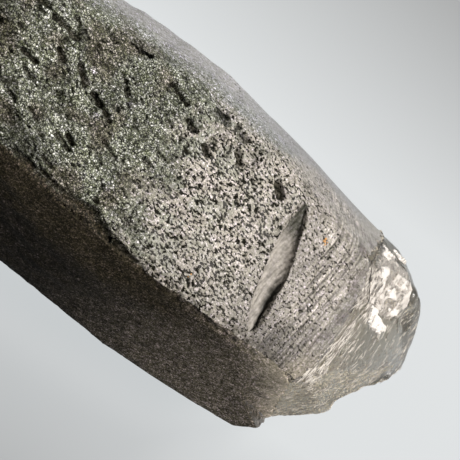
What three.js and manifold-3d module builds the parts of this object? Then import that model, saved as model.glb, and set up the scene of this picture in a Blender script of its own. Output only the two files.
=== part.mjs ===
// A prismatic quartz crystal full of chlorite, lying on one of its prism faces: one solid.
// Units are millimetres. X runs along the crystal from its broken root to its worn tip, Z is up,
// and Y runs from the shaded side to the clear, rounded rim. The origin is at the centre of the
// bounding box, on the surface that the crystal rests on.
import * as THREE from "three";
import { ImprovedNoise } from "three/addons/math/ImprovedNoise.js";
import { mergeVertices } from "three/addons/utils/BufferGeometryUtils.js";
import Module from "manifold-3d";

const degrees = THREE.MathUtils.degToRad;
const smooth = THREE.MathUtils.smoothstep;
const noise = new ImprovedNoise();

// Driving dimensions, before the crystal is centred.
const height = 34.6; // from the resting face to the main face
const axisY = 2; // the prism's middle line, across
const axisZ = height / 2; // and above the resting face
const rootX = -48; // where the crystal broke off its matrix
const shoulderX = 42.6; // where the main face ends and the termination starts
const shoulderZ = height - 0.75; // the main face has dropped that far by then
const reachX = 68; // how far the prism is drawn before the termination is cut
const faceSlope = 38.2; // degrees between a termination face of quartz and its long axis
const stationStep = 2.15; // between sections of the prism
const rootRings = 9; // rings of points across the root's break
const raggedLength = 16; // how far along the ragged edge of that break fades out
const footHalfWidth = 9.5; // of the flat strip that it rests on
const footRelief = 1.2; // whatever is lower than this on the strip is worn flat

// The six prism faces, by the angle of their normals around X: 0 is +Y and 90 is +Z. distance is
// from the middle line, before the swell and taper below.
const prismFaces = [
  { name: "main", angle: 90, distance: height - axisZ, steps: 15 },
  { name: "shaded", angle: 150, distance: 17.2, steps: 12 },
  { name: "underShaded", angle: 210, distance: 18.6, steps: 8 },
  { name: "resting", angle: 270, distance: axisZ, steps: 8 },
  { name: "underRim", angle: 330, distance: 17.9, steps: 9 },
  { name: "rim", angle: 30, distance: 20.4, steps: 9 },
];

// Growth ledges across the main face: where each is, and how far the face drops there.
const ledges = [
  { x: 27.4, drop: 0.22 },
  { x: 33.1, drop: 0.2 },
  { x: 36.2, drop: 0.3 },
  { x: 39.4, drop: 0.24 },
];
const ledgeRun = 0.5; // length of the ramp that makes a ledge

// Troughs and pits in the crust of the main face: from one point to another in X and Y.
const troughs = [
  { from: [-14.6, 3.2], to: [-9.2, -2.4], halfWidth: 1.5, depth: 1.1 },
  { from: [-9.4, 6.6], to: [-9.6, 1.6], halfWidth: 1.4, depth: 1.0 },
  { from: [-12.4, 9.8], to: [-6.6, 9.2], halfWidth: 1.4, depth: 0.9 },
  { from: [-20.5, -1.0], to: [-17.4, -6.2], halfWidth: 1.6, depth: 0.9 },
  { from: [-3.4, 4.8], to: [-1.4, 1.2], halfWidth: 1.3, depth: 0.7 },
  { from: [-27.5, 6.0], to: [-22.0, 3.0], halfWidth: 1.8, depth: 1.0 },
  { from: [-35.0, -2.0], to: [-31.0, 3.5], halfWidth: 1.8, depth: 1.1 },
  { from: [7.0, 15.2], to: [9.2, 14.6], halfWidth: 1.3, depth: 1.0 },
  { from: [11.2, 14.0], to: [14.0, 12.6], halfWidth: 1.3, depth: 0.9 },
  { from: [12.6, 11.0], to: [13.8, 10.8], halfWidth: 1.2, depth: 0.8 },
  { from: [18.8, 14.0], to: [20.4, 13.0], halfWidth: 1.2, depth: 0.8 },
  { from: [20.6, 11.4], to: [21.6, 9.8], halfWidth: 1.1, depth: 0.6 },
];

// The flat and broken faces of the termination. Each is a plane, by a point and its outward normal,
// and where along is given it runs only from start to end in that direction.
const mainTip = { point: [shoulderX, 0, shoulderZ], normal: terminationNormal(90) };
const lowerBreak = { point: [40.2, -10.9, 34.2], normal: [0.686, -0.398, 0.611] };
const tipFaces = [
  { name: "bevel along the rim", point: [41.4, 14.5, 33.9], normal: [0.4, 0.77, 0.5] },
  { name: "rim corner", point: [56.8, 15.4, 23.8], normal: [0.63, 0.52, 0.58] },
  { name: "blunt end", point: [65.9, 6, 16.7], normal: [0.9, 0.01, 0.44] },
  { name: "chipped corner", point: [45, -19.7, 17.8], normal: [0.51, -0.86, 0.08] },
  {
    name: "frosted lower rim",
    point: [60.1, -9.2, 14.4],
    normal: [0.45, -0.78, 0.43],
    along: [0.56, 0.62, 0.55],
    start: -10.6,
  },
  {
    name: "break under the end",
    point: [58, -7.4, 16.7],
    normal: [0.79, -0.58, -0.2],
    along: [0.57, 0.82, -0.11],
    start: 0,
  },
  {
    name: "splintered corner",
    point: [48.6, 10.5, 28.2],
    normal: [0.6, 0.1, 0.79],
    along: [0.79, 0, -0.6],
    start: -9,
    end: 9,
    width: 13,
    steps: 11,
  },
];
const underTips = [
  { above: "underShaded", x: 50.2 },
  { above: "resting", x: 46.8 },
  { above: "underRim", x: 48 },
];

// A long smooth pocket across the main face, and scars where flakes came off. turn is in degrees.
const pocket = { centre: [27.6, 1.7, 35], radii: [2, 11.6, 2], turn: [0, 8, 11.6], segments: 28 };
const scars = [
  { centre: [51.5, 7.2, 27.6], radii: [4.4, 3.2, 1.7], turn: [0, 38, 20], segments: 18 },
  { centre: [57.8, 10.4, 22.6], radii: [3.0, 2.4, 1.3], turn: [0, 38, -30], segments: 16 },
  { centre: [44.4, 3.4, 34.6], radii: [1.5, 2.6, 1.3], turn: [0, 20, 10], segments: 14 },
  { centre: [8.4, -21.3, 16.6], radii: [1.7, 1.2, 1.6], turn: [0, 0, 25], segments: 14 },
  { centre: [13.6, -21.7, 16.2], radii: [2.2, 1.1, 1.5], turn: [0, 0, -15], segments: 14 },
];


// How far the main face has dropped at x, over all the ledges before it.
function ledgeDrop(x) {
  return ledges.reduce((sum, ledge) => sum + ledge.drop * smooth(x, ledge.x, ledge.x + ledgeRun), 0);
}

// How far each prism face stands from the middle line at x.
function faceDistance(face, x) {
  const bow = (x / 50) ** 2;
  const rimTaper = 0.9 * smooth(-x, -12, 10);
  const swell = {
    main: -ledgeDrop(x) - 0.3 * smooth(-x, 10, 50),
    shaded: 2 * smooth(x, -24, 6) - 0.5 * smooth(x, 12, 40),
    underShaded: 2.4 * smooth(x, -12, 28) - 1.4 * smooth(x, 32, 50),
    resting: 0,
    underRim: -0.7 * bow - rimTaper - 1.5 * smooth(x, 10, 50),
    rim: -0.1 * bow - rimTaper - 5.2 * smooth(x, -5, 56) ** 1.5,
  };
  return face.distance + swell[face.name];
}

// A high sharpness gives a crisp edge between two faces, and a low one a worn, rounded edge. The
// edges wear rounder towards the root.
const edgeSharpness = [
  { angle: 60, tip: 16, root: 12 },
  { angle: 120, tip: 46, root: 7 },
  { angle: 180, tip: 60, root: 34 },
  { angle: 240, tip: 48, root: 40 },
  { angle: 300, tip: 48, root: 40 },
  { angle: 0, tip: 26, root: 20 },
];

function sharpnessAt(angle, x) {
  const apart = (edge) => Math.abs(((angle - edge.angle + 540) % 360) - 180);
  const nearest = edgeSharpness.reduce((a, b) => (apart(a) < apart(b) ? a : b));
  return THREE.MathUtils.lerp(nearest.root, nearest.tip, smooth(x, -18, 12));
}

// The prism's radius at an angle around its middle line: the nearest face, with its edges eased.
function prismRadius(angle, x) {
  const power = sharpnessAt(angle, x);
  let sum = 0;
  for (const face of prismFaces) {
    const facing = Math.cos(degrees(angle - face.angle));
    if (facing > 0) sum += (facing / faceDistance(face, x)) ** power;
  }
  return sum ** (-1 / power);
}

// The angle of the corner between two neighbouring faces at x, in degrees.
function cornerAngle(face, next, x) {
  const [a, b] = [degrees(face.angle), degrees(next.angle)];
  const [da, db] = [faceDistance(face, x), faceDistance(next, x)];
  const det = Math.cos(a) * Math.sin(b) - Math.sin(a) * Math.cos(b);
  const y = (da * Math.sin(b) - db * Math.sin(a)) / det;
  const z = (db * Math.cos(a) - da * Math.cos(b)) / det;
  return THREE.MathUtils.radToDeg(Math.atan2(z, y));
}

// Directions around the section at x, spread evenly along each face from corner to corner.
function sectionAngles(x) {
  const angles = [];
  prismFaces.forEach((face, i) => {
    const before = prismFaces[(i + 5) % 6];
    const after = prismFaces[(i + 1) % 6];
    const from = cornerAngle(before, face, x);
    const to = from + ((cornerAngle(face, after, x) - from + 360) % 360);
    const [tanFrom, tanTo] = [from, to].map((a) => Math.tan(degrees(a - face.angle)));
    for (let k = 0; k < face.steps; k++) {
      const across = tanFrom + ((tanTo - tanFrom) * k) / face.steps;
      angles.push(face.angle + THREE.MathUtils.radToDeg(Math.atan(across)));
    }
  });
  return angles;
}

// Lumps of the chlorite crust: broad swells with smaller knobs on them.
function lump(p) {
  const broad = noise.noise(p.x / 13 + 4.1, p.y / 9 + 1.7, p.z / 9);
  const knobs = noise.noise(p.x / 4.6 + 9.3, p.y / 3.9, p.z / 3.9 + 2.2);
  return 0.55 * broad + 0.5 * knobs;
}

// The crust is lumpy towards the root, and the faces turn flat and clean towards the tip.
function roughness(x) {
  return 1 - 0.85 * smooth(x, 2, 34);
}

// The depth of the deepest trough or pit at a point of the main face.
function troughDepth(x, y) {
  const here = new THREE.Vector3(x, y, 0);
  const nearest = new THREE.Vector3();
  let deepest = 0;
  for (const { from, to, halfWidth, depth } of troughs) {
    const line = new THREE.Line3(new THREE.Vector3(...from, 0), new THREE.Vector3(...to, 0));
    line.closestPointToPoint(here, true, nearest);
    deepest = Math.max(deepest, depth * Math.exp(-((nearest.distanceTo(here) / halfWidth) ** 2)));
  }
  return deepest;
}

function skinPoint(angle, x) {
  const radius = prismRadius(angle, x);
  const a = degrees(angle);
  const p = new THREE.Vector3(x, axisY + radius * Math.cos(a), axisZ + radius * Math.sin(a));
  const out = new THREE.Vector3(0, Math.cos(a), Math.sin(a));
  const dent = out.z > 0.5 ? troughDepth(p.x, p.y) : 0;
  p.addScaledVector(out, lump(p) * roughness(x) - dent);
  const onFoot = p.z < footRelief && Math.abs(p.y - axisY) < footHalfWidth;
  p.z = onFoot ? 0 : Math.max(p.z, 0);
  return p;
}

// The root's break: a tilted, shell-shaped fracture. share is 1 at its rim and 0 in its middle.
function rootPoint(angle, share) {
  const rim = skinPoint(angle, rootX);
  const y = axisY + (rim.y - axisY) * share;
  const z = axisZ + (rim.z - axisZ) * share;
  const tilt = 0.16 * (z - axisZ) - 0.1 * (y - axisY);
  const shell = 0.8 * Math.cos(Math.hypot(y + 6, z - 26) / 4.2);
  const chips = 1.7 * noise.noise(y / 7, z / 7, 3.3) + 0.7 * noise.noise(y / 2.9, z / 2.9, 8.8);
  return new THREE.Vector3(rootX + tilt + shell + chips, y, z);
}

// A closed geometry from rings of points, with a pole at each end.
function closedFromRings(rings, startPole, endPole) {
  const count = rings[0].length;
  const points = [startPole, ...rings.flat(), endPole];
  const at = (ring, i) => 1 + ring * count + (i % count);
  const index = [];
  for (let i = 0; i < count; i++) index.push(0, at(0, i + 1), at(0, i));
  for (let ring = 0; ring + 1 < rings.length; ring++) {
    for (let i = 0; i < count; i++) {
      const [a, b, c, d] = [at(ring, i), at(ring, i + 1), at(ring + 1, i), at(ring + 1, i + 1)];
      index.push(a, b, c, b, d, c);
    }
  }
  const last = rings.length - 1;
  const end = points.length - 1;
  for (let i = 0; i < count; i++) index.push(end, at(last, i), at(last, i + 1));
  return new THREE.BufferGeometry().setFromPoints(points).setIndex(index);
}

// Where the sections stand: evenly, with one at the foot and one at the head of each ledge.
function stations() {
  const count = Math.round((reachX - rootX) / stationStep);
  const even = Array.from({ length: count }, (_, k) => rootX + ((reachX - rootX) * (k + 1)) / count);
  const clearOfLedges = even.filter((x) => ledges.every((ledge) => Math.abs(x - ledge.x) > 0.6));
  return [...clearOfLedges, ...ledges.flatMap(({ x }) => [x, x + ledgeRun])].sort((a, b) => a - b);
}

function prismGeometry() {
  const rings = [];
  const rootAngles = sectionAngles(rootX);
  for (let k = 1; k <= rootRings; k++) {
    rings.push(rootAngles.map((angle) => rootPoint(angle, k / rootRings)));
  }
  const rootEdge = rings[rootRings - 1];
  for (const x of stations()) {
    const hold = 1 - smooth(x, rootX, rootX + raggedLength); // how much of the ragged edge it keeps
    rings.push(
      sectionAngles(x).map((angle, i) => {
        const p = skinPoint(angle, x);
        p.x += (rootEdge[i].x - rootX) * hold;
        return p;
      }),
    );
  }
  const startPole = rootPoint(0, 0);
  const endPole = new THREE.Vector3(reachX, axisY, axisZ);
  return closedFromRings(rings, startPole, endPole);
}

const wasm = await Module();
wasm.setup();

// A three.js geometry, placed by a matrix, as a solid for joining and cutting.
function solidFrom(geometry, matrix = new THREE.Matrix4()) {
  const bare = new THREE.BufferGeometry();
  bare.setAttribute("position", geometry.getAttribute("position").clone());
  bare.setIndex(geometry.index);
  const merged = mergeVertices(bare.applyMatrix4(matrix), 1e-4);
  return new wasm.Manifold(
    new wasm.Mesh({
      numProp: 3,
      vertProperties: new Float32Array(merged.attributes.position.array),
      triVerts: new Uint32Array(merged.index.array),
    }),
  );
}

// A slab that cuts everything beyond a plane. It runs from start to end along the plane, and ripple
// bends the face that it cuts into a fracture.
function slabCutter({ point, normal, along = [0, 1, 0], start = -45, end = 45, width = 90, ...face }) {
  const { steps = 1, ripple = () => 0 } = face;
  const depth = 60;
  const geometry = new THREE.BoxGeometry(end - start, width, depth, steps, steps, 1);
  geometry.translate((start + end) / 2, 0, depth / 2);
  const position = geometry.getAttribute("position");
  for (let i = 0; i < position.count; i++) {
    if (position.getZ(i) < 1) position.setZ(i, ripple(position.getX(i), position.getY(i)));
  }
  const out = new THREE.Vector3(...normal).normalize();
  const across = new THREE.Vector3().crossVectors(out, new THREE.Vector3(...along)).normalize();
  const place = new THREE.Matrix4().makeBasis(new THREE.Vector3().crossVectors(across, out), across, out);
  return solidFrom(geometry, place.setPosition(...point));
}

// An ellipsoid, for shell-shaped scars and for the long pocket.
function shellCutter({ centre, radii, turn, segments }) {
  const geometry = new THREE.SphereGeometry(1, segments, Math.round(segments * 0.6));
  const place = new THREE.Matrix4().compose(
    new THREE.Vector3(...centre),
    new THREE.Quaternion().setFromEuler(new THREE.Euler(...turn.map(degrees), "ZYX")),
    new THREE.Vector3(...radii),
  );
  return solidFrom(geometry, place);
}

// The outward normal of the termination face above a prism face.
function terminationNormal(angle) {
  const [a, s] = [degrees(angle), degrees(faceSlope)];
  return [Math.sin(s), Math.cos(s) * Math.cos(a), Math.cos(s) * Math.sin(a)];
}

// Curved ridges that spread from one corner of a glassy break, as in a shell.
function shellRidges(x, y) {
  const away = Math.hypot(x + 20, y + 2);
  return 0.13 * Math.cos(away / 1.9) * smooth(away, 4, 22) + 0.3 * noise.noise(x / 7, y / 7, 6.1);
}

// Small chips along a frosted, splintered break.
function splinters(x, y) {
  return 0.5 * noise.noise(x / 3.1, y / 3.1, 2.7) + 0.3 * noise.noise(x / 1.5, y / 1.5, 5.2);
}

// The termination face above a prism face that ends at x.
function underTip({ above, x }) {
  const face = prismFaces.find(({ name }) => name === above);
  const a = degrees(face.angle);
  const point = [x, axisY + face.distance * Math.cos(a), axisZ + face.distance * Math.sin(a)];
  return { point, normal: terminationNormal(face.angle) };
}

function crystalSolid() {
  const broken = { start: -28, end: 28, width: 56, steps: 21 };
  const cutters = [
    slabCutter(mainTip),
    ...underTips.map((tip) => slabCutter(underTip(tip))),
    slabCutter({ ...broken, ripple: shellRidges, ...lowerBreak }),
    ...tipFaces.map((face) => slabCutter({ ...broken, ripple: splinters, ...face })),
    ...[pocket, ...scars].map(shellCutter),
  ];
  return cutters.reduce((solid, cutter) => solid.subtract(cutter), solidFrom(prismGeometry()));
}

function geometryFrom(solid) {
  const mesh = solid.getMesh();
  const geometry = new THREE.BufferGeometry();
  geometry.setAttribute("position", new THREE.BufferAttribute(mesh.vertProperties, 3));
  geometry.setIndex(new THREE.BufferAttribute(mesh.triVerts, 1));
  return geometry;
}

const geometry = geometryFrom(crystalSolid());
geometry.computeBoundingBox();
const middle = geometry.boundingBox.getCenter(new THREE.Vector3());

const chloriteQuartz = new THREE.MeshStandardMaterial({
  color: 0x8f8c7e,
  roughness: 0.5,
  metalness: 0,
});
const crystalMesh = new THREE.Mesh(geometry, chloriteQuartz);
crystalMesh.name = "quartz_crystal";
crystalMesh.position.set(-middle.x, -middle.y, -geometry.boundingBox.min.z);

const group = new THREE.Group();
group.add(crystalMesh);
export default group;
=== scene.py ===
import math
import random

import bmesh
import bpy
from mathutils import Matrix, Vector, noise
from mathutils.bvhtree import BVHTree


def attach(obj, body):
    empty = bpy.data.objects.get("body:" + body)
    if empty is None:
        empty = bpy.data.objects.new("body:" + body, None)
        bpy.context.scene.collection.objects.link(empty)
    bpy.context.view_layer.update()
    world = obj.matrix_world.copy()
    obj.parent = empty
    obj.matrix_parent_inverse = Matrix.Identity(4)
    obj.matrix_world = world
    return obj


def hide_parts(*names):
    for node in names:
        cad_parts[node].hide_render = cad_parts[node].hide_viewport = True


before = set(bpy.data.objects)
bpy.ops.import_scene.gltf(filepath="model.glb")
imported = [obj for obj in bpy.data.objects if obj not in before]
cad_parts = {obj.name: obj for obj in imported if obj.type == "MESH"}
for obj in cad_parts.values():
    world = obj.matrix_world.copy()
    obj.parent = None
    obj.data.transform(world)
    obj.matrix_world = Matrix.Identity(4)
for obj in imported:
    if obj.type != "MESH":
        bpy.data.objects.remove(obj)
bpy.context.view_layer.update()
mm = 0.001  # the scene is in metres, and the lengths below are in millimetres
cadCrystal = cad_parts["quartz_crystal"]


def smooth(x, low, high):
    t = min(1.0, max(0.0, (x - low) / (high - low)))
    return t * t * (3.0 - 2.0 * t)


def mix(a, b, t):
    return a + (b - a) * t


# Camera

camera = {
    "target": Vector((10.54, 0.69, 34.6)),
    "distance": 200.0,
    "right": Vector((0.7405, 0.5476, 0.3896)),
    "up": Vector((-0.558, 0.8241, -0.0978)),
    "lens": 109.57,
}


def makeCamera():
    data = bpy.data.cameras.new("camera")
    data.lens = camera["lens"]
    data.sensor_width = 36.0
    data.clip_start = 0.005
    data.clip_end = 20.0
    holder = bpy.data.objects.new("camera", data)
    bpy.context.collection.objects.link(holder)
    back = camera["right"].cross(camera["up"]).normalized()
    turn = Matrix((camera["right"], camera["up"], back)).transposed().to_4x4()
    place = (camera["target"] + back * camera["distance"]) * mm
    holder.matrix_world = Matrix.Translation(place) @ turn
    bpy.context.scene.camera = holder


makeCamera()
print("camera made")

# The crystal's shape: the prism's middle line, and the planes where each side's crust ends
# at the tip. Each plane is a point and the direction towards the bare quartz.

prism = {"axisY": 0.69, "axisZ": 17.3}
crustEnds = {
    "top": [
        (Vector((34.7, 6.0, 33.6)), Vector((0.957, 0.230, -0.174))),
        (Vector((34.9, 0.0, 33.6)), Vector((0.984, 0.047, -0.174))),
        (Vector((35.2, -4.5, 33.6)), Vector((0.958, -0.228, -0.174))),
    ],
    "shaded": [(Vector((32.0, -11.3, 32.5)), Vector((0.313, 0.946, -0.051)))],
    "rim": [(Vector((36.2, 13.4, 27.2)), Vector((0.474, -0.855, -0.186)))],
    "under": [(Vector((33.9, 0.0, 34.2)), Vector((0.94, 0.0, 0.34)))],
}


def pastEnd(p, side):
    return max((p - point).dot(normal) for point, normal in crustEnds[side])


def toTip(p, normal):
    shaded = max(smooth(-normal.y, 0.25, 0.6), smooth(-p.y, 13.0, 14.0))
    e = mix(pastEnd(p, "top"), pastEnd(p, "shaded"), shaded)
    e = mix(e, pastEnd(p, "rim"), smooth(normal.y, 0.3, 0.6) * smooth(p.y, 0.0, 4.0))
    return mix(e, pastEnd(p, "under"), smooth(-normal.z, 0.1, 0.4))  # 0 where the crust ends


def addPiece(name, mesh):
    piece = bpy.data.objects.new(name, mesh)
    bpy.context.collection.objects.link(piece)
    return piece


def cadCopy(name):
    piece = addPiece(name, cadCrystal.data.copy())
    piece.data.materials.clear()
    bm = bmesh.new()
    bm.from_mesh(piece.data)
    bmesh.ops.remove_doubles(bm, verts=bm.verts, dist=1e-6)
    bm.to_mesh(piece.data)
    bm.free()
    return piece


def cutAway(piece, cuts):
    bm = bmesh.new()
    bm.from_mesh(piece.data)
    for point, outwards in cuts:
        made = bmesh.ops.bisect_plane(
            bm,
            geom=bm.verts[:] + bm.edges[:] + bm.faces[:],
            dist=1e-7,
            plane_co=point * mm,
            plane_no=outwards,
            clear_outer=True,
        )
        rim = [e for e in made["geom_cut"] if isinstance(e, bmesh.types.BMEdge)]
        bmesh.ops.edgenet_fill(bm, edges=rim)
    bmesh.ops.triangulate(bm, faces=bm.faces[:])
    bmesh.ops.recalc_face_normals(bm, faces=bm.faces[:])
    bm.to_mesh(piece.data)
    bm.free()


def remesh(piece, voxel):
    voxels = piece.modifiers.new("voxels", "REMESH")
    voxels.mode = "VOXEL"
    voxels.voxel_size = voxel * mm
    voxels.adaptivity = 0.0
    graph = bpy.context.evaluated_depsgraph_get()
    old = piece.data
    piece.data = bpy.data.meshes.new_from_object(piece.evaluated_get(graph))
    piece.modifiers.clear()
    bpy.data.meshes.remove(old)
    piece.data.name = piece.name


def flattenCuts(piece, cuts, voxel):
    bm = bmesh.new()
    bm.from_mesh(piece.data)
    for point, outwards in cuts:
        flat = [
            f
            for f in bm.faces
            if f.normal.dot(outwards) > 0.97
            and (f.calc_center_median() - point * mm).dot(outwards) > -0.4 * voxel * mm
        ]
        bmesh.ops.delete(bm, geom=flat, context="FACES")
        bmesh.ops.holes_fill(bm, edges=[e for e in bm.edges if e.is_boundary], sides=0)
    bm.to_mesh(piece.data)
    bm.free()


# The chlorite crust

crust = {
    "rootFades": (-9.0, 4.0),  # x where the granular root turns into the pitted middle
    "pitsFade": (10.0, 27.0),  # x where the pits thin out towards the tip
    "stripesFrom": (20.0, 27.0),
    "rimFrom": (8.0, 11.0),  # y where the rim side begins
    "shadeFrom": (11.5, 13.0),  # -y where the shaded side begins
    "duskFades": (-8.0, 30.0),  # x where the shaded side grows lighter
    "mainFace": 34.2,  # height of the main face's edge on the rim side
    "along": Vector((0.937, -0.35, 0.0)),  # the way the grooves and pits run
    "aside": Vector((0.35, 0.937, 0.0)),
    "grain": 0.34,
    "grainTilt": 0.5,
    "lump": 0.30,
    "grooveDepth": 0.7,
    "pitDepth": 0.26,
    "eatenDepth": 0.25,
    # painted shade towards the shaded edge near the tip
    "cornerDark": 0.6,
    "lowMiddleDark": 0.22,
    "brownShare": 0.6,
    "highlightLumpRise": 0.2,
    "deepest": -0.95,
    "proud": 0.06,
    "divesAt": (-0.5, 0.05),  # distance to the end of the crust
    "divesBy": 1.0,
    "rimDivesBy": 1.2,
    "rimEnds": (16.6, 14.0),  # height where it ends on the rim side
    "stripe": 0.34,
    "stripeHeight": 0.09,
    "clearSinks": 0.8,
    "deepSinks": 1.3,
    "grooves": [
        ((-16.9, 4.5), (-13.3, 2.6), 0.45),
        ((-28.6, 3.3), (-26.1, 3.1), 0.40),
        ((-20.9, 6.4), (-18.7, 4.7), 0.50),
        ((-24.6, 6.3), (-23.2, 5.4), 0.45),
        ((-16.8, -2.2), (-15.5, -3.0), 0.40),
        ((-8.5, 12.4), (-5.2, 11.2), 0.35),
        ((-3.8, 9.6), (-2.6, 8.9), 0.60),
        ((0.2, 8.1), (1.3, 7.2), 0.50),
        ((5.2, 10.5), (6.2, 9.4), 0.65),
        ((13.2, 10.3), (14.2, 9.2), 0.75),
        ((0.0, 13.9), (1.4, 13.1), 0.80),
        ((3.6, 13.5), (5.2, 12.7), 0.75),
        ((-31.9, 10.2), (-29.1, 10.2), 0.50),
        ((-27.5, 9.5), (-23.3, 9.1), 0.60),
        ((-16.4, 14.6), (-13.1, 14.0), 0.50),
        ((-21.5, -8.3), (-15.8, -8.9), 0.55),  # chasms along the shaded edge
        ((-15.8, -8.9), (-11.3, -8.9), 0.50),
        ((-11.3, -8.9), (-8.0, -8.5), 0.50),
        ((-8.0, -8.5), (-6.2, -9.5), 0.75),
        ((-6.2, -9.5), (-4.0, -10.4), 0.90),
        ((-4.0, -10.4), (-1.0, -10.7), 0.65),
        ((-1.0, -10.7), (1.5, -11.1), 0.55),
    ],
    "shadedEdge": [  # x and y where the lit crust ends
        (60.0, -12.2), (14.0, -11.4), (6.5, -11.3), (1.5, -11.1), (-1.0, -10.7), (-4.0, -10.4),
        (-6.2, -9.5), (-8.0, -8.5), (-11.3, -8.9), (-15.8, -8.9), (-21.5, -8.3), (-60.0, -7.6),
    ],
    # raised lumps with a painted highlight: x, y and size
    "highlightLumps": [(-18.8, 7.1, 1.0), (-15.1, 2.0, 0.8), (-8.1, -4.8, 0.7), (-12.0, 6.5, 0.5)],
}
pocket = {  # y and x of its two long sides
    "left": [
        (10.6, 18.2), (5.6, 18.0), (3.7, 17.95), (0.5, 18.4), (-3.0, 18.75), (-5.9, 19.5),
        (-9.4, 21.7),
    ],
    "right": [
        (10.6, 18.7), (5.6, 20.7), (2.7, 21.7), (-0.5, 22.4), (-4.1, 22.5), (-8.7, 22.7),
        (-9.4, 22.3),
    ],
    "floor": 0.22,
    "bowl": 0.35,
    "lines": 0.10,
    "undercut": 0.35,
}
crustColors = {
    "grain": Vector((0.415, 0.445, 0.335)),
    "plateau": Vector((0.71, 0.665, 0.575)),
    "green": Vector((0.52, 0.54, 0.44)),
    "nearTip": Vector((0.48, 0.45, 0.395)),
    # dark brown of the worn shaded edge, with painted shade
    "bevel": Vector((0.085, 0.072, 0.044)),
    "smoky": Vector((0.22, 0.20, 0.18)),
    # near black, for pits: dark chlorite with painted shade in the recess
    "pit": Vector((0.020, 0.022, 0.015)),
    # dark chlorite with painted shade, for the grooves and chasms
    "groove": Vector((0.05, 0.046, 0.028)),
    "brown": Vector((0.27, 0.24, 0.165)),
    # painted highlight colour for the raised lumps
    "white": Vector((0.80, 0.80, 0.74)),
    # The shaded side's colours: dark chlorite with painted shade on it, and lighter towards the tip
    # as painted light coming through the clear tip.
    "shadedRoot": Vector((0.040, 0.036, 0.027)),
    "shadedTip": Vector((0.29, 0.258, 0.198)),
    "rim": Vector((0.46, 0.475, 0.43)),
    "rimClear": Vector((0.45, 0.45, 0.44)),
    "veil": Vector((0.36, 0.345, 0.305)),
    # painted light: the shaded side's crust under the glass near the tip is made bright, standing
    # for light coming through the glass
    "shadedVeil": Vector((0.68, 0.62, 0.49)),
    "pocket": Vector((0.40, 0.375, 0.335)),
}


def between(points, at):
    for (start, first), (end, second) in zip(points, points[1:]):
        if start >= at >= end:
            return mix(first, second, (start - at) / (start - end))
    return None


def inPocket(p):
    y = p.y + 0.25 * noise.noise(p / 0.9)
    left, right = between(pocket["left"], y), between(pocket["right"], y)
    if left is None:
        return -9.0, 0.0
    x = p.x + 0.22 * noise.noise(p / 0.8 + Vector((7.0, 0.0, 0.0)))
    return min(x - left, right - x), (x - left) / (right - left)


def stripeWave(p):
    s = p.x - 0.175 * p.y
    wave = noise.noise(Vector((s / crust["stripe"], p.y / 6.0, p.z / 5.0)))
    return wave + 0.5 * noise.noise(Vector((s / (0.45 * crust["stripe"]), p.y / 2.5, p.z / 5.0)))


def grooveAt(p):
    deepest = 0.0
    for (x1, y1), (x2, y2), width in crust["grooves"]:
        if abs(p.x - x1) > 6.0 or abs(p.y - y1) > 4.0:
            continue
        dx, dy = x2 - x1, y2 - y1
        t = min(1.0, max(0.0, ((p.x - x1) * dx + (p.y - y1) * dy) / (dx * dx + dy * dy)))
        away = math.hypot(p.x - x1 - t * dx, p.y - y1 - t * dy)
        away += 0.35 * noise.noise(p / 0.7)
        deepest = max(deepest, smooth(away, 1.25 * width, 0.4 * width))
    return deepest


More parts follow.
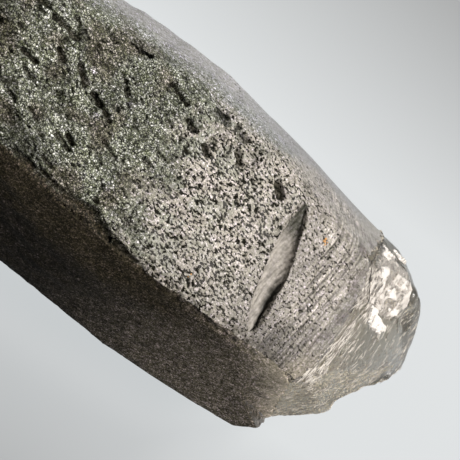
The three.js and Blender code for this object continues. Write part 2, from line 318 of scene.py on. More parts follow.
def crustAt(p, normal):
    wobble = noise.noise(p / 5.0) + 0.4 * noise.noise(p / 1.8)
    root = 1.0 - smooth(p.x - 5.0 * wobble, *crust["rootFades"])
    calm = smooth(p.x + 5.0 * wobble, *crust["pitsFade"])
    shaded = smooth(-normal.y, 0.25, 0.7)
    ragged = noise.noise(p / 1.3) + 0.5 * noise.noise(p / 0.5)
    below = crust["mainFace"] - p.z + 1.2 * ragged + 0.8 * wobble
    front = smooth(p.x, 8.0, 24.0)
    rimSide = smooth(p.y, *crust["rimFrom"])
    rim = smooth(below, mix(0.4, 8.5, front), mix(mix(4.5, 8.0, root), 13.5, front)) * rimSide
    top = (1.0 - shaded) * (1.0 - rim)
    stripes = stripeWave(p)
    e = toTip(p, normal)
    flow = Vector((p.dot(crust["along"]) / 1.8, p.dot(crust["aside"]), p.z))

    # grains, which are small tilted facets
    spots = noise.voronoi(flow / crust["grain"])
    centre = spots[1][0]
    tilt = noise.cell_vector(centre * 31.7) - Vector((0.5, 0.5, 0.5))
    facet = 2.0 * crust["grainTilt"] * tilt.dot(flow / crust["grain"] - centre) * crust["grain"]
    grainy = mix(0.3, 1.0, root) * (1.0 - 0.8 * calm) * mix(1.0, 0.5, shaded) * (1.0 - 0.6 * rim)
    height = grainy * 0.3 * facet

    # lumps and the grooves between them
    lump = noise.noise(flow / 2.4) + 0.25 * noise.noise(flow / 1.0)
    height += crust["lump"] * lump * mix(0.25, 1.0, root) * (1.0 - 0.8 * calm) * (1.0 - 0.75 * rim)
    g = noise.noise(Vector((flow.x / 1.9, flow.y / 1.2, p.z / 2.0))) + 0.35 * noise.noise(p / 0.8)
    groove = 0.85 * smooth(g, 0.3, 0.68) * root * top
    groove = max(groove, grooveAt(p) * top)
    height -= crust["grooveDepth"] * groove
    edgeY = between(crust["shadedEdge"], p.x)
    worn = smooth(edgeY + 1.6 - p.y, 0.0, 1.6) * smooth(p.y, edgeY - 1.2, edgeY)
    worn *= smooth(p.z, 30.0, 32.0)
    height -= worn * (0.25 + 0.45 * ragged) * smooth(p.x, 32.0, 20.0)
    # Along the worn shaded edge: brown crust, with painted shade where the edge turns from the
    # light.
    bevel = smooth(edgeY + 0.1 + 0.5 * ragged - p.y, 0.0, 0.5)
    bevel *= smooth(p.z + 1.2 * ragged, 26.5, 31.0)
    bevel *= mix(1.0, 0.35, smooth(p.x, 4.0, 20.0)) * smooth(p.x, 30.0, 22.0)

    # pits
    n = noise.noise(flow / 0.40) + 0.5 * noise.noise(flow / 0.2) + 0.45 * noise.noise(flow / 1.9)
    start = mix(mix(0.40, 0.50, root), 0.60, calm) + 0.25 * max(rim, shaded)
    pit = smooth(n, start, start + 0.1)
    pitDepth = crust["pitDepth"] * pit * mix(1.0, 0.6, calm) * mix(1.0, 0.6, shaded)
    height -= pitDepth * (1.0 - 0.6 * rim)
    eaten = smooth(noise.noise(p / 1.5) + 0.5 * noise.noise(p / 0.6), 0.0, 0.45)
    eaten *= smooth(p.y, 6.0, 10.0)
    eaten *= smooth(p.x, -8.0, -2.0) * smooth(p.x, 17.0, 9.0) * top
    height -= crust["eatenDepth"] * eaten

    striped = smooth(p.x + 2.0 * wobble, *crust["stripesFrom"]) * top
    height += crust["stripeHeight"] * striped * stripes

    # colour
    greenish = smooth(noise.noise(p / 3.1) + 0.5 * noise.noise(p / 0.9), -0.15, 0.25)
    greenish *= mix(1.0, 0.35, smooth(p.x, -4.0, 12.0))
    color = crustColors["plateau"].lerp(crustColors["green"], greenish)
    color = color.lerp(crustColors["grain"], root)
    color = color.lerp(crustColors["nearTip"], smooth(p.x, 11.0, 21.0))
    # Painted highlight: the raised lumps are lifted a little and painted near white.
    for x, y, size in crust["highlightLumps"]:
        near = smooth(math.hypot(p.x - x, p.y - y) + 0.5 * ragged, size, 0.3 * size)
        color = color.lerp(crustColors["white"], 0.6 * near)
        height += crust["highlightLumpRise"] * near
    # Painted light and shade: towards the root the colour is lighter on the lumps and darker in the
    # hollows between them.
    color = color * mix(1.0, 0.93 + 0.6 * lump, root)
    color = color * (1.0 + 0.25 * noise.noise(p / 1.5) * (1.0 - root))
    # Brown comes in random patches, weighted into the hollows as painted shade.
    brown = smooth(noise.noise(p / 4.0 + Vector((3.0, 1.0, 0.0))) - 0.5 * lump, -0.05, 0.5) * root
    color = color.lerp(crustColors["brown"], crust["brownShare"] * brown)
    # Grooves are painted dark: darker chlorite in them, and painted shade in the recess.
    color = color.lerp(crustColors["groove"], 0.92 * groove)
    lowOnRim = smooth(29.0 - p.z + 2.0 * ragged, 0.0, 4.0)
    rimColor = crustColors["rim"].lerp(crustColors["rimClear"], lowOnRim)
    color = color.lerp(rimColor * mix(1.0, 0.70, smooth(p.x, 0.0, 20.0)), rim)
    # Painted shade: the side facing away from the lamps takes the dark dusk colour by its facing
    # direction. It grows lighter towards the tip as painted light coming through.
    lighter = smooth(p.x, *crust["duskFades"])
    dusk = crustColors["shadedRoot"].lerp(crustColors["shadedTip"], lighter)
    dusk = dusk * (1.0 + 0.5 * noise.noise(p / 1.2) + 0.35 * noise.noise(p / 0.45))
    inShade = max(shaded, smooth(-p.y, *crust["shadeFrom"]))
    color = color.lerp(dusk, inShade)
    color = color.lerp(crustColors["bevel"], bevel)
    # Painted shade: the main face darkens towards the shaded edge near the tip, where it turns from
    # the light. The veil below takes the same painted shade.
    corner = smooth(-p.y, 1.0, 10.0) * smooth(p.x, 14.0, 28.0) * (1.0 - shaded)
    color = color * (1.0 - crust["cornerDark"] * corner)
    lowMiddle = crust["lowMiddleDark"] * smooth(p.y, -1.0, -8.0) * (1.0 - root) * (1.0 - shaded)
    color = color * (1.0 - lowMiddle * smooth(p.x, 20.0, 12.0))
    # Eaten patches are lowered and half darkened to the pit colour: dark chlorite, with painted
    # shade in the dents.
    color = color.lerp(crustColors["pit"], 0.5 * eaten)
    color = color * mix(1.0, 0.88 + 0.24 * noise.cell(centre * 17.3), grainy)
    color = color * mix(1.0, 1.0 + 1.0 * stripes, striped)
    # Pits are painted dark: dark chlorite, with painted shade in the recess.
    color = color.lerp(crustColors["pit"], pit * mix(1.0, 0.5, shaded) * (1.0 - 0.5 * rim))
    smoky = smooth(noise.noise(p / 2.2) + 0.4 * ragged, -0.1, 0.35) * top
    veil = crustColors["veil"].lerp(crustColors["smoky"], 0.8 * smoky)
    # Painted light: on the shaded side the veil turns to the bright shadedVeil colour.
    veil = veil.lerp(crustColors["shadedVeil"], max(shaded, smooth(-p.y, 3.0, 12.0)))
    veil = veil * (1.0 - 0.4 * corner) * (1.0 + 0.5 * stripes * top)
    fading = smooth(e + 1.2 * ragged, -5.0, mix(-1.0, -0.2, shaded)) * smooth(p.y, -18.5, -16.5)
    color = color.lerp(veil, fading)

    lift = crust["proud"] + max(height, crust["deepest"])
    pits = mix(1.0, 0.55, root) * mix(1.0, 0.7, calm) * mix(1.0, 0.3, rim) * mix(1.0, 0.5, shaded)
    pits *= 1.0 - 0.5 * smooth(e, -6.0, -2.0)
    dust = mix(mix(0.4, 1.0, root) * mix(1.0, 0.9, calm), 0.8, inShade)
    dust *= 1.0 - 0.5 * fading * shaded
    dust = mix(dust, mix(0.3, 0.75, smooth(p.z + 2.0 * ragged, 24.5, 29.0)), rim)
    inner, across = inPocket(p)
    if inner > -0.6 and p.z > 30.0:
        inside = smooth(inner, -0.05, 0.2)
        lines = noise.noise(Vector((p.x * 3.0 - 0.5 * p.y, p.y * 0.5, 0.0)))
        lines += 0.5 * noise.noise(p / 0.45)
        bowl = math.sin(math.pi * min(1.0, max(0.0, across)))
        floor = -pocket["floor"] + pocket["bowl"] * bowl + pocket["lines"] * lines
        lift = mix(lift, floor, inside)
        # Painted shadow: a thin dark line along the pocket's edge, and a dark band down its lower
        # right side, where a real undercut also sinks it.
        outline = smooth(abs(inner - 0.02), 0.16, 0.05)
        dark = smooth(p.y + 1.2 * lines, 4.5, 7.0)  # chlorite at its upper end
        under = smooth(across, 0.62, 0.9) * smooth(p.y + lines, 1.0, -3.0)
        color = color.lerp(crustColors["pocket"] * (1.0 + 0.55 * lines), inside)
        color = color.lerp(crustColors["pit"] * 3.0, 0.8 * inside * dark)
        color = color.lerp(crustColors["pit"], max(0.9 * inside * under, 0.6 * outline))
        lift -= pocket["undercut"] * inside * under
        dust *= 1.0 - 0.75 * inside * (1.0 - dark)
        pits *= 1.0 - inside
    tipward = smooth(e + 0.5 * ragged, *crust["divesAt"])
    lift = mix(lift, -crust["divesBy"], tipward)
    dust *= 1.0 - 0.5 * tipward
    pits *= 1.0 - tipward
    overRim = smooth(p.z + 0.8 * ragged, *crust["rimEnds"]) * rimSide
    lift = mix(lift, -crust["rimDivesBy"], overRim)
    gloss = mix(mix(0.34, 0.6, root), 0.95, max(pit, groove, shaded))
    return lift, color, gloss, dust, pits


def shapeCrust(piece, sinks, ends):
    mesh = piece.data
    normals = [v.normal.copy() for v in mesh.vertices]
    tints, marks = [], {"gloss": [], "dust": [], "pits": []}
    for v in mesh.vertices:
        p = v.co / mm
        normal = normals[v.index]
        lift, color, gloss, dust, pits = crustAt(p, normal)
        facesEnd = max(normal.dot(outwards) for _, outwards in ends)
        v.co += normal * (lift - sinks(p, normal)) * smooth(facesEnd, 0.9, 0.6) * mm
        tints.extend((*color, 1.0))
        for name, value in (("gloss", gloss), ("dust", dust), ("pits", pits)):
            marks[name].append(value)
    mesh.attributes.new("tint", "FLOAT_COLOR", "POINT").data.foreach_set("color", tints)
    for name, values in marks.items():
        mesh.attributes.new(name, "FLOAT", "POINT").data.foreach_set("value", values)


axis = Vector((0.0, prism["axisY"], prism["axisZ"]))


def faceNormal(degrees):
    return Vector((0.0, math.cos(math.radians(degrees)), math.sin(math.radians(degrees))))


def cutAcross(x, way):
    return Vector((x, 0.0, 0.0)), Vector((way, 0.0, 0.0))


def cutUnder(degrees, distance):
    outwards = faceNormal(degrees)
    return axis + outwards * distance, -outwards


rimFoot = (Vector((0.0, 0.0, 13.2)), Vector((0.0, 0.0, -1.0)))
rimUnderMain = (Vector((0.0, 12.9, 33.0)), Vector((0.0, -0.5, 0.866)))


def cutDeeper(degrees, distance, slope):
    outwards = faceNormal(degrees)
    start = Vector((-50.0, 0.0, 0.0)) + axis + outwards * distance
    return start, -(outwards + Vector((slope, 0.0, 0.0))).normalized()


crustPieces = {
    "crust_main_end": {
        "voxel": 0.24,
        "end": "top",
        "cuts": [cutUnder(90, 14.9), cutAcross(-35.5, 1)],
    },
    "crust_main_root": {
        "voxel": 0.12,
        "end": "top",
        "cuts": [cutUnder(90, 14.9), cutAcross(-36.5, -1), cutAcross(-2.5, 1)],
    },
    "crust_main_front": {
        "voxel": 0.12,
        "end": "top",
        "cuts": [cutUnder(90, 14.9), cutAcross(-3.5, -1)],
    },
    "crust_shaded": {"voxel": 0.205, "end": "shaded", "cuts": [cutDeeper(150, 15.6, 0.039)]},
    "crust_under": {"voxel": 0.36, "end": "under", "cuts": [cutUnder(210, 17.0)]},
    "crust_rim_root": {
        "voxel": 0.215,
        "end": "rim",
        "cuts": [cutUnder(20, 15.6), rimUnderMain, rimFoot, cutAcross(17.5, 1)],
    },
    "crust_rim_front": {
        "voxel": 0.20,
        "end": "rim",
        "cuts": [cutUnder(20, 13.6), rimFoot, cutAcross(16.5, -1)],
    },
}


def rimSinks(p, n):
    return 0.15 * smooth(n.z, 0.85, 0.97)


def rimRootSinks(p, n):
    return rimSinks(p, n) + smooth(13.2 - p.y, 0.0, 1.0) * smooth(n.z, 0.2, 0.5)


# How far each piece is sunk where it runs under its neighbour
sinkings = {
    "crust_main": lambda p, n: 0.15 * smooth(33.2 - p.z, 0.0, 0.8) * smooth(n.y, 0.1, 0.4),
    "crust_rim_root": rimRootSinks,
    "crust_rim_front": rimSinks,
    "crust_shaded": lambda p, n: 0.3 * smooth(n.z, 0.8, 0.95),
    "crust_under": lambda p, n: 0.2 * smooth(p.z, 16.6, 17.4),
}


def makeCrust(name, voxel, end, cuts):
    piece = cadCopy(name)
    cuts = cuts + crustEnds[end]
    cutAway(piece, cuts)
    remesh(piece, voxel)
    flattenCuts(piece, cuts, voxel)
    sinks = next(sink for start, sink in sinkings.items() if name.startswith(start))
    shapeCrust(piece, sinks, crustEnds[end])
    print(name, sum(len(f.vertices) - 2 for f in piece.data.polygons))
    return piece


crusts = [makeCrust(name, **values) for name, values in crustPieces.items()]

# The clear quartz

clearQuartz = {
    "edge": 0.8,
    "fineEdge": 0.32,
    "brokenCentre": Vector((41.0, 11.0, 27.5)),
    "broken": (5.0, 8.0),
    "brokenHeight": 0.35,
    "rounding": 8,
    "chips": 0.16,
    "crackWidth": 0.30,
    "crackDepth": 0.12,
    "endSinks": 0.14,
    "waves": 0.12,
    "sharpFrom": 30,  # degrees
}
cracks = [
    [
        (39.5, 16.8, 20.6), (36.2, 13.4, 27.2), (33.6, 10.3, 32.4), (34.4, 7.4, 33.5),
        (37.2, 4.9, 32.0),
    ],
    [
        (39.5, 16.8, 20.6), (41.7, 14.8, 23.7), (43.1, 14.3, 24.4), (44.9, 13.6, 24.6),
        (48.3, 12.5, 23.0),
    ],
]


def crackAt(p):
    nearest = 9.0
    for line in cracks:
        for start, end in zip(line, line[1:]):
            a, b = Vector(start), Vector(end)
            t = min(1.0, max(0.0, (p - a).dot(b - a) / (b - a).length_squared))
            nearest = min(nearest, (a.lerp(b, t) - p).length)
    return smooth(nearest, clearQuartz["crackWidth"], 0.0)


def brokenAt(p):
    return 1.0 - smooth((p - clearQuartz["brokenCentre"]).length, *clearQuartz["broken"])


# Splitting an edge of four faces leaves pairs of faces that share all their corners.
def removeFolds(bm):
    same = {}
    for f in bm.faces:
        same.setdefault(frozenset(f.verts), []).append(f)
    folded = [f for faces in same.values() if len(faces) > 1 for f in faces]
    bmesh.ops.delete(bm, geom=folded, context="FACES")


def splitLong(bm, wanted, longest):
    long = [e for e in bm.edges if e.calc_length() > longest * mm and wanted(e.verts[0].co / mm)]
    bmesh.ops.subdivide_edges(bm, edges=long, cuts=1)
    larger = [f for f in bm.faces if len(f.verts) > 3]
    bmesh.ops.triangulate(bm, faces=larger, quad_method="SHORT_EDGE")
    removeFolds(bm)


def covered(p, normal):
    top = smooth(normal.z, 0.3, 0.5) * smooth(p.z, 4.0, 8.0)
    shaded = smooth(-normal.y, 0.3, 0.5)
    rim = smooth(normal.y, 0.3, 0.5) * smooth(p.z, 14.4, 16.2)
    return max(top, shaded, rim)


def makeClear():
    piece = cadCopy("clear_quartz")
    bm = bmesh.new()
    bm.from_mesh(piece.data)
    for _ in range(3):
        splitLong(bm, lambda p: p.x > 25.0 or p.y > 8.0, clearQuartz["edge"])
    for _ in range(4):
        splitLong(bm, lambda p: brokenAt(p) > 0.0, clearQuartz["fineEdge"])
    for _ in range(clearQuartz["rounding"]):
        ends = [v for v in bm.verts if v.co.x / mm > 38.0]
        bmesh.ops.smooth_vert(
            bm, verts=ends, factor=0.5, use_axis_x=True, use_axis_y=True, use_axis_z=True
        )
    bm.normal_update()
    normals = [v.normal.copy() for v in bm.verts]
    frost, streaks = [], []
    for v, normal in zip(bm.verts, normals):
        p = v.co / mm
        if p.z > 32.0:
            normal.z = abs(normal.z)  # a few slivers are folded over
        e = toTip(p, normal)
        sinks = mix(crust["deepSinks"], crust["clearSinks"], smooth(p.x, 18.0, 26.0))
        sinks = mix(sinks, clearQuartz["endSinks"], smooth(e, -4.0, -2.0)) * smooth(e, 0.4, -0.4)
        lift = -sinks * covered(p, normal)
        waves = clearQuartz["waves"] * noise.noise(p / 1.6)
        lift += waves * smooth(e, -0.5, 1.0) * smooth(normal.z, 0.2, 0.5)
        broken = brokenAt(p)
        if broken > 0.0:
            q = Vector((p.x / 0.7, (p.y - 0.6 * p.z) / 1.5, p.z / 0.7))
            lift += clearQuartz["brokenHeight"] * broken * noise.noise(q)
            lift -= clearQuartz["crackDepth"] * crackAt(p)
        under = smooth(-normal.z, -0.3, 0.1)
        chipped = smooth(-normal.y, 0.2, 0.5) * smooth(p.x, 36.0, 40.0)
        lift += clearQuartz["chips"] * chipped * (noise.noise(p / 0.9) + 0.5 * noise.noise(p / 0.4))
        v.co += normal * lift * mm
        nearEdge = smooth(e, 4.0, 1.0) * smooth(normal.z, 0.3, 0.6)
        frost.append(max(under, chipped, 0.8 * nearEdge))
        streaks.append(mix(0.25, 1.0, smooth(e, 6.0, 0.5)) * smooth(normal.z, 0.3, 0.6))
    bm.to_mesh(piece.data)
    bm.free()
    piece.data.attributes.new("frost", "FLOAT", "POINT").data.foreach_set("value", frost)
    piece.data.attributes.new("streaks", "FLOAT", "POINT").data.foreach_set("value", streaks)
    piece.data.shade_smooth()
    piece.data.set_sharp_from_angle(angle=math.radians(clearQuartz["sharpFrom"]))
    return piece


clear = makeClear()
print(clear.name, len(clear.data.polygons))


# Loose grains and splinters set into the surface

def scatter(name, density, count, makeOne, seed):
    rng = random.Random(seed)
    mesh = clear.data
    mesh.calc_loop_triangles()
    spots = []
    for t in mesh.loop_triangles:
        corners = [mesh.vertices[i].co for i in t.vertices]
        middle = (corners[0] + corners[1] + corners[2]) / 3.0
        weight = t.area * density(middle / mm, t.normal)
        if weight > 0.0:
            spots.append((weight, corners, t.normal.copy()))
    picks = rng.choices(spots, weights=[w for w, _, _ in spots], k=count)
    verts, faces = [], []
    for _, (a, b, c), normal in picks:
        u, v = rng.random(), rng.random()
        if u + v > 1.0:
            u, v = 1.0 - u, 1.0 - v
        place = a + (b - a) * u + (c - a) * v
        shape, shapeFaces = makeOne(rng, place, normal.copy())
        first = len(verts)
        verts.extend(shape)
        faces.extend(tuple(first + i for i in f) for f in shapeFaces)
    grains = bpy.data.meshes.new(name)
    grains.from_pydata(verts, [], faces)
    print(name, len(spots), len(faces))
    return addPiece(name, grains)


def pebble():
    bm = bmesh.new()
    bmesh.ops.create_icosphere(bm, subdivisions=1, radius=1.0)
    verts = [v.co.copy() for v in bm.verts]
    faces = [tuple(v.index for v in f.verts) for f in bm.faces]
    bm.free()
    return verts, faces


pebbleVerts, pebbleFaces = pebble()


def makeGrain(size, flat, sink, depth=(0.0, 0.0)):
    def one(rng, place, normal):
        s = rng.uniform(*size) * 0.5 * mm
        turn = Matrix.Rotation(rng.uniform(0.0, math.tau), 3, "Z")
        shape = Matrix.Diagonal((rng.uniform(0.7, 1.5), rng.uniform(0.6, 1.0), flat))
        lean = normal.to_track_quat("Z", "Y").to_matrix()
        wild = Vector((rng.uniform(-0.4, 0.4), rng.uniform(-0.4, 0.4), 1.0))
        m = lean @ wild.to_track_quat("Z", "Y").to_matrix() @ turn @ shape
        jitter = [1.0 + rng.uniform(-0.25, 0.25) for _ in pebbleVerts]
        base = place - normal * (sink * s + rng.uniform(*depth) * mm)
        return [base + m @ (co * j) * s for co, j in zip(pebbleVerts, jitter)], pebbleFaces
    return one


def tipDensity(p, normal):
    e = toTip(p, normal)
    if p.x < 31.0 or normal.z < 0.2 or p.y > 12.0 or e < -0.3:
        return 0.0
    return mix(0.35, 1.0, smooth(e + 2.0 * noise.noise(p / 2.0), 4.0, 0.0))


def lowerDensity(p, normal):
    if p.x < 30.0 or normal.z < -0.2 or p.z < 4.0 or toTip(p, normal) < -0.3:
        return 0.0
    band = smooth(-normal.y, 0.15, 0.45)
    return max(band, 0.3 * smooth(-p.y + 1.5 * noise.noise(p / 2.0), 2.0, 9.0))


tipGrain = {"size": (0.08, 0.22), "flat": 0.6, "sink": 0.2}
lowerGrain = {"size": (0.10, 0.28), "flat": 0.6, "sink": 0.15}
tipGrains = scatter("tip_grains", tipDensity, 1500, makeGrain(**tipGrain), 5)
lowerGrains = scatter("lower_grains", lowerDensity, 4000, makeGrain(**lowerGrain), 7)


def inclusionDensity(p, normal):
    return tipDensity(p, normal) if p.y > -13.0 else 0.0


inclusion = {"size": (0.15, 0.5), "flat": 0.25, "sink": 0.0, "depth": (0.6, 4.0)}
inclusions = scatter("inclusions", inclusionDensity, 900, makeGrain(**inclusion), 13)


sliver = {
    "along": Vector((0.172, 0.985, 0.0)),
    "strays": 0.09,
    "width": (0.05, 0.09),
    "thick": 0.05,
}


def makeSliver(size, sink):
    def one(rng, place, normal):
        s = rng.uniform(*size) * 0.5 * mm
        along = sliver["along"] + Vector((rng.gauss(0.0, sliver["strays"]), 0.0, 0.0))
        along = (along - normal * along.dot(normal)).normalized()
        m = Matrix((along, normal.cross(along), normal)).transposed()
        width = rng.uniform(*sliver["width"]) * mm
        shape = Matrix.Diagonal((s, width, sliver["thick"] * mm))
        base = place - normal * sink * mm
        return [base + m @ shape @ co for co in pebbleVerts], pebbleFaces
    return one


def streakDensity(p, normal):
    e = toTip(p, normal)
    if p.x < 30.0 or normal.z < 0.5 or p.y > 10.0 or e < -0.4:
        return 0.0
    patchy = smooth(noise.noise(Vector((p.x, 0.4 * p.y, 0.0)) / 1.5), -0.3, 0.3)
    return mix(0.12, 1.0, smooth(e, 7.0, 0.0)) * mix(0.2, 1.0, patchy)


darkStreaks = scatter("dark_streaks", streakDensity, 1300, makeSliver((0.6, 2.4), 0.02), 17)
paleStreaks = scatter("pale_streaks", streakDensity, 700, makeSliver((0.5, 2.0), 0.0), 19)


# White flakes on the broken corner, and the fracture that shines through below them

# The flakes' white stands for crushed quartz, and in part for painted glints off the broken
# surfaces.
flakes = {
    "thick": 0.35,
    "rise": -0.15,
    "edge": 0.35,
    "tilt": 0.9,
    "rough": 0.08,
    "facet": (1.3, 2.4),  # across and along
    "raggedBy": 0.35,
    "outlines": [
        [
            (37.9, 4.8, 31.5), (40.5, 5.5, 29.0), (44.0, 5.2, 25.8), (46.8, 4.4, 24.2),
            (45.1, 3.0, 26.0), (41.9, 2.6, 28.6), (39.7, 3.1, 30.2),
        ],
        [(40.2, 8.8, 28.8), (43.0, 10.2, 26.3), (44.9, 8.6, 25.5), (43.2, 7.8, 26.1)],
        [(40.6, 12.0, 28.4), (44.4, 12.8, 25.1), (45.4, 11.3, 24.7), (43.0, 10.6, 26.3)],
        [
            (41.9, 16.5, 20.6), (43.7, 16.5, 20.4), (44.9, 16.0, 20.8), (44.4, 15.2, 22.2),
            (42.6, 15.4, 22.6),
        ],
        [(37.6, 8.9, 30.8), (38.7, 9.5, 29.9), (39.4, 8.0, 29.6), (38.3, 7.2, 30.4)],
        [(44.6, 7.4, 26.0), (46.9, 8.4, 24.1), (47.6, 7.5, 23.8), (45.6, 6.6, 25.4)],
        [(36.9, 13.2, 27.4), (39.0, 15.6, 22.8), (40.6, 14.6, 23.9), (38.6, 12.6, 27.2)],
        [(35.6, 9.8, 31.4), (37.2, 11.6, 29.4), (38.4, 10.8, 29.2), (36.9, 8.7, 31.0)],
    ],
}
innerFracture = {
    "thick": 0.5,
    "rise": -0.5,
    "edge": 0.3,
    "outline": [
        (38.9, 16.2, 21.8), (36.6, 13.6, 26.6), (34.8, 10.6, 31.2), (35.2, 7.6, 32.8),
        (37.4, 5.2, 31.6), (41.0, 5.2, 29.0), (45.8, 6.0, 25.2), (48.5, 9.6, 22.6),
        (47.0, 12.6, 22.8), (43.0, 14.6, 23.6), (40.6, 15.8, 22.0),
    ],
}


def surfaceBelow(tree, p):
    spot, normal, _, _ = tree.find_nearest(p * mm)
    return spot, normal


def makeFlake(bm, tree, outline, sizes):
    rise, thick = sizes["rise"], sizes["thick"]
    centre = sum((Vector(p) for p in outline), Vector()) / len(outline)
    normal = surfaceBelow(tree, centre)[1]
    sheet = bmesh.new()
    sheet.faces.new([sheet.verts.new(Vector(p) * mm) for p in outline])
    bmesh.ops.triangulate(sheet, faces=sheet.faces[:])
    for _ in range(4):
        long = [e for e in sheet.edges if e.calc_length() > sizes["edge"] * mm]
        bmesh.ops.subdivide_edges(sheet, edges=long, cuts=1)
        bmesh.ops.triangulate(sheet, faces=[f for f in sheet.faces if len(f.verts) > 3])
    sheet.normal_update()
    if sum((f.normal * f.calc_area() for f in sheet.faces), Vector()).dot(normal) < 0.0:
        bmesh.ops.reverse_faces(sheet, faces=sheet.faces[:])
    bounds = {v for v in sheet.verts if v.is_boundary}
    for v in sheet.verts:
        p = v.co / mm
        spot, up = surfaceBelow(tree, p)
        across, along = flakes["facet"]
        q = Vector((p.x / across, (p.y - 0.6 * p.z) / along, p.z / across))
        facet = noise.voronoi(q)[1][0]
        tilt = noise.cell_vector(facet * 31.7) - Vector((0.5, 0.5, 0.5))
        out = rise + flakes["tilt"] * tilt.dot(q - facet)
        out += flakes["rough"] * noise.noise(p / 0.4)
        if v in bounds:
            out = rise - 0.5 * thick
            q = p / 0.5
            ragged = Vector((noise.noise(q), noise.noise(q + Vector((9, 0, 0))), 0.0))
            spot = spot + ragged * flakes["raggedBy"] * mm
        v.co = spot + up * out * mm
    bmesh.ops.recalc_face_normals(sheet, faces=sheet.faces[:])
    if sum((f.normal * f.calc_area() for f in sheet.faces), Vector()).dot(normal) < 0.0:
        bmesh.ops.reverse_faces(sheet, faces=sheet.faces[:])
    back = bmesh.ops.extrude_face_region(sheet, geom=sheet.faces[:])
    moved = [v for v in back["geom"] if isinstance(v, bmesh.types.BMVert)]
    bmesh.ops.translate(sheet, verts=moved, vec=normal * thick * mm)
    bmesh.ops.recalc_face_normals(sheet, faces=sheet.faces[:])
    part = bpy.data.meshes.new("flake")
    sheet.to_mesh(part)
    sheet.free()
    bm.from_mesh(part)
    bpy.data.meshes.remove(part)


def makeFlakes(name, sizes, outlines):
    tree = BVHTree.FromObject(clear, bpy.context.evaluated_depsgraph_get())
    bm = bmesh.new()
    for outline in outlines:
        makeFlake(bm, tree, outline, sizes)
    mesh = bpy.data.meshes.new(name)
    bm.to_mesh(mesh)
    bm.free()
    print(name, len(mesh.polygons))
    return addPiece(name, mesh)


whiteFlakes = makeFlakes("white_flakes", flakes, flakes["outlines"])
fracture = makeFlakes("inner_fracture", innerFracture, [innerFracture["outline"]])

# Cracks from the broken corner, as thin dark seams

seam = {"radius": 0.09, "rises": (0.08, -0.02), "step": 0.3, "sway": 0.3}


def makeSeams():
    curve = bpy.data.curves.new("crack_seams", "CURVE")
    curve.dimensions = "3D"
    curve.bevel_depth = seam["radius"] * mm
    curve.bevel_resolution = 1
    curve.use_fill_caps = True
    tree = BVHTree.FromObject(clear, bpy.context.evaluated_depsgraph_get())
    for line, rise in zip(cracks, seam["rises"]):
        places = []
        for start, end in zip(line, line[1:]):
            a, b = Vector(start), Vector(end)
            steps = max(2, int((b - a).length / seam["step"]))
            places.extend(a.lerp(b, i / steps) for i in range(steps))
        spline = curve.splines.new("POLY")
        spline.points.add(len(places) - 1)
        for i, (point, place) in enumerate(zip(spline.points, places)):
            q = place / 0.8
            sway = Vector((noise.noise(q), noise.noise(q + Vector((5, 0, 0))), 0.0))
            spot, up = surfaceBelow(tree, place + sway * seam["sway"])
            point.co = (*(spot + up * rise * mm), 1.0)
            point.radius = 0.5 + 0.9 * abs(noise.noise(place / 1.1)) * 2.0
    holder = addPiece("crack_seams", curve)
    mesh = bpy.data.meshes.new_from_object(holder)
    bpy.data.objects.remove(holder)
    print("crack_seams", len(mesh.polygons))
    return addPiece("crack_seams", mesh)


seams = makeSeams()

# Rust specks

rust = {"places": [(24.15, 8.08, 34.5, 0.42), (9.46, -8.0, 34.4, 0.34), (24.5, 7.7, 34.5, 0.25)]}


def makeRust():
    rng = random.Random(11)
    bm = bmesh.new()
    ground = next(piece for piece in crusts if piece.name == "crust_main_front")
    tree = BVHTree.FromObject(ground, bpy.context.evaluated_depsgraph_get())
    for x, y, z, size in rust["places"]:
        for _ in range(4):
            place = Vector((x + rng.uniform(-0.3, 0.3), y + rng.uniform(-0.3, 0.3), z))
            spot, _ = surfaceBelow(tree, place)
            made = bmesh.ops.create_icosphere(bm, subdivisions=1, radius=0.5 * size * mm)
            for v in made["verts"]:
                v.co *= rng.uniform(0.75, 1.2)
                v.co.z *= 0.5
                v.co += spot
    mesh = bpy.data.meshes.new("rust_specks")
    bm.to_mesh(mesh)
    bm.free()
    print("rust_specks", len(mesh.polygons))
    return addPiece("rust_specks", mesh)


rustSpecks = makeRust()

# Materials


def newMaterial(name):
    material = bpy.data.materials.new(name)
    material.use_nodes = True
    nodes = material.node_tree.nodes
    return material, nodes, material.node_tree.links, nodes["Principled BSDF"]


def ramp(nodes, links, value, low, high, outLow=0.0, outHigh=1.0):
    node = nodes.new("ShaderNodeMapRange")
    node.inputs["From Min"].default_value = low
    node.inputs["From Max"].default_value = high
    node.inputs["To Min"].default_value = outLow
    node.inputs["To Max"].default_value = outHigh
    links.new(value, node.inputs["Value"])
    return node.outputs["Result"]


def mixColor(nodes, links, factor, a, b, blend="MIX"):
    node = nodes.new("ShaderNodeMix")
    node.data_type = "RGBA"
    node.blend_type = blend
    for name, value in (("Factor", factor), ("A", a), ("B", b)):
        if isinstance(value, (float, int, tuple)):
            node.inputs[name].default_value = value
        else:
            links.new(value, node.inputs[name])
    return node.outputs["Result"]


def attribute(nodes, name, output="Fac"):
    node = nodes.new("ShaderNodeAttribute")
    node.attribute_name = name
    return node.outputs[output]


def noiseTexture(nodes, links, vector, scale, detail):
    node = nodes.new("ShaderNodeTexNoise")
    node.inputs["Scale"].default_value = scale
    node.inputs["Detail"].default_value = detail
    links.new(vector, node.inputs["Vector"])
    return node


def stretched(nodes, links, vector, degrees, stretch):
    node = nodes.new("ShaderNodeMapping")
    node.vector_type = "TEXTURE"
    node.inputs["Rotation"].default_value = (0.0, 0.0, math.radians(degrees))
    node.inputs["Scale"].default_value = stretch
    links.new(vector, node.inputs["Vector"])
    return node.outputs["Vector"]


def addBump(nodes, links, shader, height, distance):
    bump = nodes.new("ShaderNodeBump")
    bump.inputs["Distance"].default_value = distance * mm
    links.new(height, bump.inputs["Height"])
    links.new(bump.outputs["Normal"], shader.inputs["Normal"])


